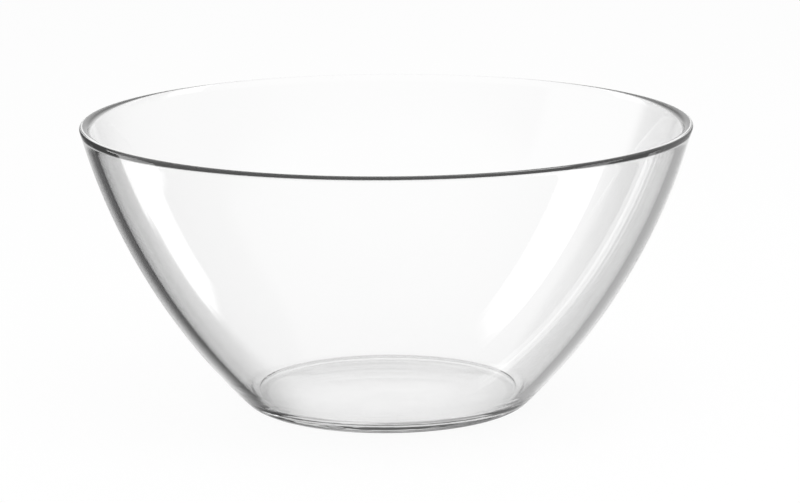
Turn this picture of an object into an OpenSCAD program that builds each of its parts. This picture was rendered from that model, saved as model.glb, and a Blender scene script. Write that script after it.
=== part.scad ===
// A plain round glass bowl, open at the top, pressed in one piece and fire-polished.
// Its floor lies a little below a narrow lip, and it stands on a narrow ring round its
// hollow underside. Z is up, the origin is the centre of that ring at the level of the
// table, and lengths are in millimetres.

/* [Rim] */
// Outside diameter at the rim
rim_d = 260; // [220:1:320]
// Height from the table to the top of the rim
bowl_h = 122.2; // [100:0.1:150]
// Thickness of the glass at the rim, which is rounded over its whole width
rim_wall = 4.2; // [2.5:0.1:5]

/* [Wall] */
// Radius of the arc that the outside of the wall follows
wall_arc_r = 267; // [220:1:400]
// Thickness of the glass low on the wall, where it turns into the base
low_wall = 4.5; // [3:0.1:6]

/* [Base] */
// Diameter of the circle where the flat base ends and the heel begins
foot_d = 110; // [90:1:130]
// Outside radius of the heel, which turns the base up into the wall
heel_r = 10; // [8:0.5:14]
// Thickness of the glass under the lip round the floor
base_t = 6.5; // [5:0.1:8]
// Inside radius between the lip and the wall
floor_fillet_r = 7; // [4:0.5:9]
// Width of the lip, measured from where the inside radius ends
lip_w = 0.3; // [0.2:0.1:2]
// Depth of the floor below the lip
floor_drop = 0.8; // [0.3:0.1:1.5]
// Width of the flat ring that the bowl stands on
ring_w = 3; // [2:0.5:6]
// Depth of the shallow hollow under the middle of the base
hollow_h = 0.6; // [0.3:0.1:1]

/* [Hidden] */
// Sides of the drawn circles
$fn = 256;
glass_tint = [0.86, 0.92, 0.91, 0.45];

// How far the rounding circles stand proud of the arcs, so that they join without a gap
join = 0.001;

// The circle that rounds the rim, and the one that rounds the heel
bead_r = rim_wall / 2;
bead_c = [rim_d / 2 - bead_r, bowl_h - bead_r];
heel_c = [foot_d / 2, heel_r];

// The outside arc lies against both circles from without
wall_c = apex(heel_c, bead_c, wall_arc_r - heel_r + join, wall_arc_r - bead_r + join);

// The circle that rounds the lip into the wall stands one thickness inside that arc
fillet_reach = wall_arc_r - low_wall - floor_fillet_r;
fillet_h = base_t + floor_fillet_r;
fillet_c = [wall_c.x + sqrt(fillet_reach ^ 2 - (wall_c.y - fillet_h) ^ 2), fillet_h];

// The inside arc lies against that circle from without and against the rim's from within
inside_arc_r = wall_arc_r - (low_wall + rim_wall) / 2;
inside_c = apex(fillet_c, bead_c, inside_arc_r - floor_fillet_r + join, inside_arc_r + bead_r - join);

// The hollow under the base is part of a ball that meets the table inside the ring
hollow_r = foot_d / 2 - ring_w;
hollow_ball_r = (hollow_r ^ 2 + hollow_h ^ 2) / (2 * hollow_h);

// The point at distance ra from a and rb from b, left of the way from a to b
function apex(a, b, ra, rb) =
    let (
        d = norm(b - a),
        u = (b - a) / d,
        s = (d ^ 2 + ra ^ 2 - rb ^ 2) / (2 * d),
        t = sqrt(ra ^ 2 - s ^ 2)
    )
    a + s * u + t * [-u.y, u.x];

// Two ways from point c, through a and through b, with the triangle's far side outside of radius r
module wedge(c, a, b, r) {
    polygon([c, c + 2 * r * (a - c) / norm(a - c), c + 2 * r * (b - c) / norm(b - c)]);
}

// The slice of a disc about c between the ways from c through a and through b
module disc_slice(c, r, a, b) {
    intersection() {
        translate(c) circle(r = r);
        wedge(c, a, b, r);
    }
}

// Half of the base and its heel, with nothing cut out yet
module base_outline() {
    square(heel_c);
    translate(heel_c) circle(r = heel_r);
}

// Half of the space above the sunk floor and its lip, as far as the base and the heel reach
module floor_space() {
    translate([0, base_t - floor_drop]) square([fillet_c.x - lip_w, 2 * heel_r]);
    translate([0, base_t]) square([fillet_c.x, 2 * heel_r]);
    translate(fillet_c) circle(r = floor_fillet_r);
    disc_slice(inside_c, inside_arc_r, fillet_c, bead_c);
}

// The wall between its two arcs, from the heel to the rim
module wall_outline() {
    difference() {
        disc_slice(wall_c, wall_arc_r, heel_c, bead_c);
        translate(inside_c) circle(r = inside_arc_r);
    }
}

// The shallow hollow under the base
module hollow_outline() {
    translate([0, hollow_h - hollow_ball_r]) circle(r = hollow_ball_r);
}

// Half of a cut through the bowl, on the right of its axis
module bowl_outline() {
    difference() {
        base_outline();
        floor_space();
        hollow_outline();
    }
    wall_outline();
    translate(bead_c) circle(r = bead_r);
}

module glass_bowl() {
    color(glass_tint) rotate_extrude() bowl_outline();
}

glass_bowl();
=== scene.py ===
from math import atan2, cos, pi, radians, sin, sqrt

import bmesh
import bpy
from mathutils import Matrix, Vector


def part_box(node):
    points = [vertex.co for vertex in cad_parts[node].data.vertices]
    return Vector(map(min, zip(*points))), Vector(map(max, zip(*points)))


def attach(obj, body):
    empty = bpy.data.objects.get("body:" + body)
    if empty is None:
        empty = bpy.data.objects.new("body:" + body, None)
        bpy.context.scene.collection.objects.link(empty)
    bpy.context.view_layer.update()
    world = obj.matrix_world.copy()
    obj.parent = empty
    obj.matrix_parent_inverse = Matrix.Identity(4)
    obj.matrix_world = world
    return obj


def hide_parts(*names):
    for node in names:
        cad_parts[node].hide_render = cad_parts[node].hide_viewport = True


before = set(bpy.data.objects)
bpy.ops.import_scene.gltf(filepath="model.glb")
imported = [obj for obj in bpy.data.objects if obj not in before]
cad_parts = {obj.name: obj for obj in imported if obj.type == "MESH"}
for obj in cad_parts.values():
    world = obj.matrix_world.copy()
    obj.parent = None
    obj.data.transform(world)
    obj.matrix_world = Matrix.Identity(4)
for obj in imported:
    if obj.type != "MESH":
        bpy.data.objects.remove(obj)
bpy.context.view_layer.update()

# The camera stands well back from the bowl and a little above its rim, with a long
# lens, as for a catalogue picture on a table. Its shift is nil and all is in focus.
view_distance = 1.4488
view_height = 0.3687
view_down = radians(11.821)
view_turn = radians(-0.220)
view_roll = radians(-0.296)
view_lens = 155.6
near_limit = 0.01

camera = bpy.data.objects.new("camera", bpy.data.cameras.new("camera"))
camera.data.lens = view_lens
camera.data.clip_start = near_limit
camera.location = (0, -view_distance, view_height)
camera.rotation_euler = (
    Matrix.Rotation(view_turn, 3, "Z")
    @ Matrix.Rotation(pi / 2 - view_down, 3, "X")
    @ Matrix.Rotation(view_roll, 3, "Z")
).to_euler()
bpy.context.scene.collection.objects.link(camera)
bpy.context.scene.camera = camera
bpy.context.scene.view_settings.view_transform = "Standard"

# Light is mirrored many times on its way along the rim and the heel of clear glass
mirror_turns = 16
bpy.context.scene.cycles.glossy_bounces = mirror_turns

# The bowl is one piece of clear soda-lime glass, pressed to shape and then fire-polished,
# so every face is glossy and its rim is round, more so inside. Its floor is sunk a little
# below a narrow lip, and it stands on a ring, with the middle of its underside hollow.
rim_wall = 0.0042
rim_in_share = 0.8
rim_in_h = 0.0040
rim_out_h = 0.0010
wall_arc_r = 0.267
low_wall = 0.0045
foot_r = 0.055
heel_r = 0.010
base_t = 0.0065
floor_fillet_r = 0.007
lip_w = 0.0003
floor_drop = 0.0008
lip_edge_r = 0.00015
drop_fillet_r = 0.0003
ring_w = 0.003
hollow_h = 0.0006
low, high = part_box("glass_bowl")
rim_r = (high.x - low.x) / 2
bowl_h = high.z


def apex(a, b, ra, rb):
    """The point at distance ra from a and rb from b, left of the way from a to b."""
    way = b - a
    along = (way.length_squared + ra * ra - rb * rb) / (2 * way.length)
    across = sqrt(ra * ra - along * along)
    way.normalize()
    return a + along * way + across * Vector((-way.y, way.x))


def bend(centre, radius, start, end, steps):
    """Points on an arc about centre, from the way to start round to the way to end."""
    first = atan2(start.y - centre.y, start.x - centre.x)
    turn = atan2(end.y - centre.y, end.x - centre.x) - first
    turns = (first + turn * k / steps for k in range(steps + 1))
    return [centre + radius * Vector((cos(t), sin(t))) for t in turns]


def quarter(centre, start, end, steps):
    """Points on a quarter of an ellipse about centre, after start and up to end."""
    turns = (pi / 2 * k / steps for k in range(1, steps + 1))
    return [centre + cos(t) * (start - centre) + sin(t) * (end - centre) for t in turns]


# The middle of the rim, and the circles that round the heel and the foot of the inside
bead_r = rim_wall / 2
bead = Vector((rim_r - bead_r, bowl_h - bead_r))
heel = Vector((foot_r, heel_r))
wall = apex(heel, bead, wall_arc_r - heel_r, wall_arc_r - bead_r)
reach = wall_arc_r - low_wall - floor_fillet_r
fillet_h = base_t + floor_fillet_r
fillet = Vector((wall.x + sqrt(reach**2 - (wall.y - fillet_h) ** 2), fillet_h))
floor_r = fillet.x - lip_w
floor_h = base_t - floor_drop


def bowl_outline():
    """Half of a cut through the bowl, from the axis under the base to the axis on the floor."""
    inside_r = wall_arc_r - (low_wall + rim_wall) / 2
    inside = apex(fillet, bead, inside_r - floor_fillet_r, inside_r + bead_r)
    hollow_r = foot_r - ring_w
    ball_r = (hollow_r**2 + hollow_h**2) / (2 * hollow_h)
    ball = Vector((0, hollow_h - ball_r))
    out_way = (bead - wall).normalized()
    up_way = Vector((-out_way.y, out_way.x))
    outside_end = wall + Matrix.Rotation((bead_r - rim_out_h) / wall_arc_r, 2) @ (wall_arc_r * out_way)
    in_way = (bead - inside).normalized()
    inside_end = inside + Matrix.Rotation((bead_r - rim_in_h) / inside_r, 2) @ (inside_r * in_way)
    crest_foot = outside_end - (1 - rim_in_share) * rim_wall * out_way
    crest = crest_foot + rim_out_h * up_way
    inner_foot = crest - (crest - inside_end).dot(up_way) * up_way
    across, up = Vector((1, 0)), Vector((0, 1))
    edge = Vector((floor_r + lip_edge_r, base_t - lip_edge_r))
    drop = Vector((floor_r - drop_fillet_r, floor_h + drop_fillet_r))
    ring_steps, floor_steps = 4, 12
    points = bend(ball, ball_r, Vector((0, hollow_h)), Vector((hollow_r, 0)), 14)
    points += [Vector((hollow_r + ring_w * k / ring_steps, 0)) for k in range(1, ring_steps)]
    points += bend(heel, heel_r, heel - up, heel + (heel - wall), 20)
    points += bend(wall, wall_arc_r, heel, outside_end, 60)[1:]
    points += quarter(crest_foot, outside_end, crest, 12)
    points += quarter(inner_foot, crest, inside_end, 16)
    points += bend(inside, inside_r, inside_end, fillet, 60)[1:]
    points += bend(fillet, floor_fillet_r, fillet + (fillet - inside), fillet - up, 20)[1:]
    points += bend(edge, lip_edge_r, edge + up, edge - across, 5)
    points += bend(drop, drop_fillet_r, drop + across, drop - up, 6)
    points += [Vector((drop.x - drop_fillet_r, floor_h))]
    points += [Vector((drop.x * (1 - k / floor_steps), floor_h)) for k in range(1, floor_steps + 1)]
    widest, highest = max(p.x for p in points), max(p.y for p in points)
    return [Vector((p.x * rim_r / widest, p.y * bowl_h / highest)) for p in points]


def turned(name, outline, steps):
    """A closed mesh of an outline turned round the Z axis, with one point where it meets the axis."""
    shape = bmesh.new()
    ways = [(cos(2 * pi * k / steps), sin(2 * pi * k / steps)) for k in range(steps)]
    rings = []
    for r, z in outline:
        if r < outline[1].x / 2:
            rings.append([shape.verts.new((0, 0, z))] * steps)
        else:
            rings.append([shape.verts.new((r * x, r * y, z)) for x, y in ways])
    for below, above in zip(rings, rings[1:]):
        for k in range(steps):
            m = (k + 1) % steps
            corners = [below[k], below[m], above[m], above[k]]
            shape.faces.new(dict.fromkeys(corners)).smooth = True
    mesh = bpy.data.meshes.new(name)
    shape.normal_update()
    shape.to_mesh(mesh)
    shape.free()
    piece = bpy.data.objects.new(name, mesh)
    bpy.context.scene.collection.objects.link(piece)
    return piece


class Signal:
    """A socket in a shader tree. Sums on signals add the nodes that do them."""

    def __init__(self, tree, socket=None):
        self.tree, self.socket = tree, socket

    def node(self, kind, settings=(), inputs=(), output=0):
        """Adds a node of a kind, sets it up, feeds its inputs and gives one of its outputs."""
        made = self.tree.nodes.new(kind)
        for name, value in dict(settings).items():
            setattr(made, name, value)
        for name, value in dict(inputs).items():
            if isinstance(value, Signal):
                self.tree.links.new(value.socket, made.inputs[name])
            else:
                made.inputs[name].default_value = value
        return Signal(self.tree, made.outputs[output])

    def sum(self, operation, *values):
        return self.node("ShaderNodeMath", {"operation": operation}, dict(enumerate(values)))

    def __add__(self, other):
        return self.sum("ADD", self, other)

    def __sub__(self, other):
        return self.sum("SUBTRACT", self, other)

    def __rsub__(self, other):
        return self.sum("SUBTRACT", other, self)

    def __mul__(self, other):
        return self.sum("MULTIPLY", self, other)

    def __pow__(self, other):
        return self.sum("POWER", self, other)

    __radd__, __rmul__ = __add__, __mul__

    def rise(self, start, end):
        """Rises smoothly from 0 to 1 as the signal goes from start to end."""
        inputs = {"Value": self, "From Min": start, "From Max": end}
        return self.node("ShaderNodeMapRange", {"interpolation_type": "SMOOTHSTEP"}, inputs)

    def span(self, start, end, soft):
        """1 where the signal is between start and end, with soft ends."""
        return self.rise(start - soft, start + soft) * (1 - self.rise(end - soft, end + soft))

    def under(self, cover, value):
        """The signal with a value laid over it where the cover is 1."""
        return self * (1 - cover) + cover * value

    def axes(self):
        return [self.node("ShaderNodeSeparateXYZ", inputs={0: self}, output=axis) for axis in "XYZ"]

    def grain(self, scale, detail=2.0):
        """Noise round a middle of 0.5, with about so many patches to the metre."""
        return self.node("ShaderNodeTexNoise", inputs={"Vector": self, "Scale": scale, "Detail": detail})

    def path(self, output):
        """What is known of the ray of light that arrives here."""
        return self.node("ShaderNodeLightPath", output=output)

    def mix(self, factor, first, second):
        """One shader where the factor is 0, the other where it is 1."""
        return self.node("ShaderNodeMixShader", inputs={0: factor, 1: first, 2: second})

    def glow(self, level):
        return self.node("ShaderNodeEmission", inputs={"Color": (1, 1, 1, 1), "Strength": level})

    def veil(self, level):
        return self.node("ShaderNodeBsdfTransparent", inputs={"Color": (level, level, level, 1)})


def shader(tree, kind="ShaderNodeOutputMaterial"):
    """An emptied tree as a place to add nodes, with its output node."""
    tree.nodes.clear()
    return Signal(tree), tree.nodes.new(kind)


# Fire-polished glass has faint waves and a finer orange peel, and the heel keeps flat
# streaks from the mould. The resting ring is rubbed a little dull and the base is cloudy.
# Painted shade darkens a line at the edge of the floor, and painted shadow darkens the
# resting ring and the underside, which sits on its own shadow, most towards the ring.
glass_index = 1.51
wave_h, wave_scale = 0.00002, 22
peel_h, peel_scale = 0.000002, 160
streak_h, streak_scale = 0.00006, 300
streak_flatness = (0.25, 0.25, 2.0)
streaks_low, streaks_high, streaks_soft = 0.002, 0.013, 0.002
streaks_from_r, streaks_to_r = 0.056, 0.059
underside_low, underside_high = 0.001, 0.002
# Painted shade: the tone of the glass is darkened in a line at the edge of the sunk floor
step_painted_shade, step_soft, step_soft_h = 0.6, 0.0002, 0.0005
# The resting ring's roughness is wear; its darker tone is a painted contact shadow
ring_painted_shadow, ring_rough, ring_soft = 0.10, 0.12, 0.0004
cloud_dark, cloud_scale = 0.08, 45
# Painted shadow: the underside's tone is darkened, and more so towards the ring
underside_painted_shadow, base_soft = 0.09, 0.002
shade_dark, shade_from_r, shade_to_r = 0.20, 0.018, 0.050
# Painted light: rays past this many turns meet a glow set on the glass, brighter at the rim, in front
# and towards the right
painted_glow_turns = 10.5
painted_glow_dim, painted_glow_bright = 0.06, 1.0
rim_glow_from, rim_glow_to = 0.090, 0.115
side_glow_from, side_glow_to = 0.050, 0.090
front_glow, front_start, front_full, front_end, front_over = 0.40, -30, 20, 49, 53
box_glow, box_start, box_end, box_soft = 0.60, 31, 50, 3
face_shadow, edge_shadow, shadow_power = 0.07, 0.6, 4.0


def clear_glass():
    material = bpy.data.materials.new("clear_glass")
    material.use_nodes = True
    start, output = shader(material.node_tree)
    place = start.node("ShaderNodeTexCoord", output="Object")
    x, y, z = place.axes()
    radius = start.sum("SQRT", x * x + y * y)
    underside = 1 - z.rise(underside_low, underside_high)
    # Painted shade: a line round the edge of the sunk floor where the glass is darkened
    step = radius.span(floor_r - 2 * lip_w, floor_r + lip_w, step_soft)
    step *= z.span(floor_h, base_t, step_soft_h)
    # The resting ring: rubbed dull by wear, and darkened with a painted contact shadow
    ring = radius.span(foot_r - ring_w, foot_r, ring_soft) * underside
    clouds = place.grain(cloud_scale).rise(0.3, 0.7) * underside
    # Painted shadow under the base, where it sits on its own shadow, deepest towards the ring
    base = (1 - radius.rise(foot_r, foot_r + base_soft)) * underside
    shadow_towards_ring = radius.rise(shade_from_r, shade_to_r) * base
    # The tone sums painted shade and shadow at the floor's edge, the ring and the underside, with the
    # base's random cloud
    dark = step_painted_shade * step + ring_painted_shadow * ring + cloud_dark * clouds
    dark += underside_painted_shadow * base + shade_dark * shadow_towards_ring
    shade = 1 - dark
    tone = start.node("ShaderNodeCombineColor", inputs={"Red": shade, "Green": shade, "Blue": shade})

    streak_x, streak_y, streak_z = streak_flatness
    spot = {"X": x * streak_x, "Y": y * streak_y, "Z": z * streak_z}
    streaks = start.node("ShaderNodeCombineXYZ", inputs=spot).grain(streak_scale)
    on_heel = z.span(streaks_low, streaks_high, streaks_soft)
    on_heel *= radius.rise(streaks_from_r, streaks_to_r)
    waves = place.grain(wave_scale, 1.0) * wave_h + place.grain(peel_scale) * peel_h
    relief = {"Height": waves + streaks * on_heel * streak_h, "Distance": 1.0, "Strength": 1.0}
    bump = start.node("ShaderNodeBump", inputs=relief)
    glass = start.node(
        "ShaderNodeBsdfPrincipled",
        inputs={
            "Base Color": tone,
            "Roughness": ring * ring_rough,
            "IOR": glass_index,
            "Transmission Weight": 1.0,
            "Normal": bump,
        },
    )

    # Painted light: rays that have made more than so many turns in the glass meet an even glow
    # in place of glass, standing for light still caught in it. The glow is dim but for the rim, and is
    # painted less dim in front and where the box on the right would shine in, fixed on the bowl.
    # Its turn is in degrees from the front, to the right.
    turn = start.sum("ARCTAN2", x, -1.0 * y) * (180 / pi)
    front = turn.rise(front_start, front_full) * (1 - turn.rise(front_end, front_over))
    side_glow = front_glow * front + box_glow * turn.span(box_start, box_end, box_soft)
    rim_glow = z.rise(rim_glow_from, rim_glow_to)
    on_side = z.rise(side_glow_from, side_glow_to)
    glow = rim_glow.under(on_side, start.sum("MAXIMUM", rim_glow, side_glow))
    # Painted light: the glass itself glows here, though it is no lamp
    painted_glow = start.mix(glow, start.glow(painted_glow_dim), start.glow(painted_glow_bright))
    past_glow_turns = start.sum("GREATER_THAN", start.path("Ray Depth"), painted_glow_turns)
    lit_glass = start.mix(past_glow_turns, glass, painted_glow)

    # The shadow of clear glass is faint, and darkest where the light meets it edge on
    facing = start.node("ShaderNodeLayerWeight", inputs={"Blend": 0.5}, output="Facing")
    shadow = start.mix(face_shadow + facing**shadow_power * edge_shadow, start.veil(1), start.veil(0))
    passing = start.sum("MAXIMUM", start.path("Is Shadow Ray"), start.path("Is Diffuse Ray"))
    bowl_glass = start.mix(passing, lit_glass, shadow)
    material.node_tree.links.new(bowl_glass.socket, output.inputs["Surface"])
    return material


bowl = turned("bowl_glass", bowl_outline(), 400)
bowl.data.materials.append(clear_glass())
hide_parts("glass_bowl")
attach(bowl, "root")

# The floor is a plain pale table top. It shows as white behind the bowl and keeps a
# part of the bowl's shadow. What the glass mirrors looks through it to the studio.
table_size = 6.0
table_tone = (0.95, 0.95, 0.95, 1)
table_white = 0.85
table_gap = 0.00005


def white_table():
    material = bpy.data.materials.new("table_white")
    material.use_nodes = True
    start, output = shader(material.node_tree)
    mirrored = start.sum("MINIMUM", start.path("Glossy Depth"), 1.0)
    seen = start.sum("MAXIMUM", start.path("Is Camera Ray"), start.path("Is Transmission Ray"))
    paint = start.node("ShaderNodeBsdfDiffuse", inputs={"Color": table_tone})
    shown = start.mix(seen * table_white, paint, start.glow(1.0))
    table = start.mix(mirrored, shown, start.veil(1))
    material.node_tree.links.new(table.socket, output.inputs["Surface"])
    return material


bpy.ops.mesh.primitive_plane_add(size=table_size, location=(0, 0, -table_gap))
floor = bpy.context.object
floor.name = "table_top"
floor.data.materials.append(white_table())

# The room is white where the camera or the glass looks through to it. What the glass
# mirrors is a studio of panels round the bowl. Each fills a range of bearings from the
# backdrop, to the right, and a range of heights from the horizon up, both in degrees.
all_heights = (-100, 100)
all_round = (-200, 200)
fill_level, back_fill = 0.60, 0.24
back_from, back_to = 90, 165
box_low_level, box_high_level = 2.6, 1.3
sky_level = 0.93
shadow_level = 0.25
nearly_one = 0.99999


def studio_air():
    world = bpy.data.worlds.new("room")
    world.use_nodes = True
    start, output = shader(world.node_tree, "ShaderNodeOutputWorld")
    x, y, z = start.node("ShaderNodeTexCoord", output="Generated").axes()
    bearing = start.sum("ARCTAN2", x, y) * (180 / pi)
    height = start.sum("ARCSINE", start.sum("MINIMUM", z, nearly_one)) * (180 / pi)
    slope = start.sum("ABSOLUTE", height)
    box_level = box_low_level + (box_high_level - box_low_level) * height.rise(-8, 8)

    room = fill_level + back_fill * start.sum("ABSOLUTE", bearing).rise(back_from, back_to)
    panels = [
        # bearings, softness, heights, softness, level
        ((-55, -30), 3, all_heights, 1, 0.03),
        ((15, 55), 4, all_heights, 1, 0.42),
        ((57.5, 80.5), 0.8, all_heights, 1, 0.22 + 0.43 * slope.rise(25, 48)),
        ((-30.5, 0), 3.3, all_heights, 1, 0.06 + 0.94 * bearing.rise(-30, -2) ** 1.5),
        ((-3, 14), 4, all_heights, 1, 0.95 - 0.5 * slope.rise(14, 34)),
        (all_round, 1, (60, 100), 10, 0.82),
        (all_round, 1, (-100, -55), 10, 0.68),
        ((53, 58.5), 0.5, (-60, -15), 6, 1.4),
        ((49.4, 50.8), 0.4, (-38, -15), 5, 0.90),
        ((46.2, 47.2), 0.4, (-34, -15), 5, 0.70),
        ((-77, -54.5), 1, (-31, 3), 2, box_level),
        ((-110, -58), 3, (4, 60), 4, 0.9),
        (all_round, 1, (29, 100), 5, sky_level),
        ((10, 90), 8, (4, 50), 5, 0.65),
    ]
    for bearings, side_soft, heights, end_soft, level in panels:
        cover = bearing.span(*bearings, side_soft) * height.span(*heights, end_soft)
        room = room.under(cover, level)
    slanted = (bearing + height * 0.25).span(-79, -66, 1.2) * bearing.span(-80, -56, 0.7)
    room = room.under(slanted * height.span(-44, -28, 2.5), box_level)
    right_box = bearing.span(83.2, 102.2, 0.8) * height.rise(-66, -54) * (1 - height.rise(0, 6))
    room = room.under(right_box, box_level)

    mirrored = start.sum("MINIMUM", start.path("Glossy Depth"), 1.0)
    plain = 1 - shadow_level * start.path("Is Diffuse Ray")
    level = plain.under(mirrored, room)
    air = start.node("ShaderNodeBackground", inputs={"Color": (1, 1, 1, 1), "Strength": level})
    world.node_tree.links.new(air.socket, output.inputs["Surface"])
    return world


bpy.context.scene.world = studio_air()

# One square soft lamp hangs high in front, to the right. It draws the bowl's shadow on the
# table, and neither the camera nor the glass sees it.
lamp_place = (0.6, -0.8, 2.2)
lamp_size = 1.6
lamp_power = 22

lamp = bpy.data.objects.new("soft_above", bpy.data.lights.new("soft_above", "AREA"))
lamp.data.size = lamp_size
lamp.data.energy = lamp_power
lamp.location = lamp_place
lamp.rotation_euler = (-Vector(lamp_place)).to_track_quat("-Z", "Y").to_euler()
lamp.visible_camera = False
lamp.visible_glossy = False
lamp.visible_transmission = False
bpy.context.scene.collection.objects.link(lamp)
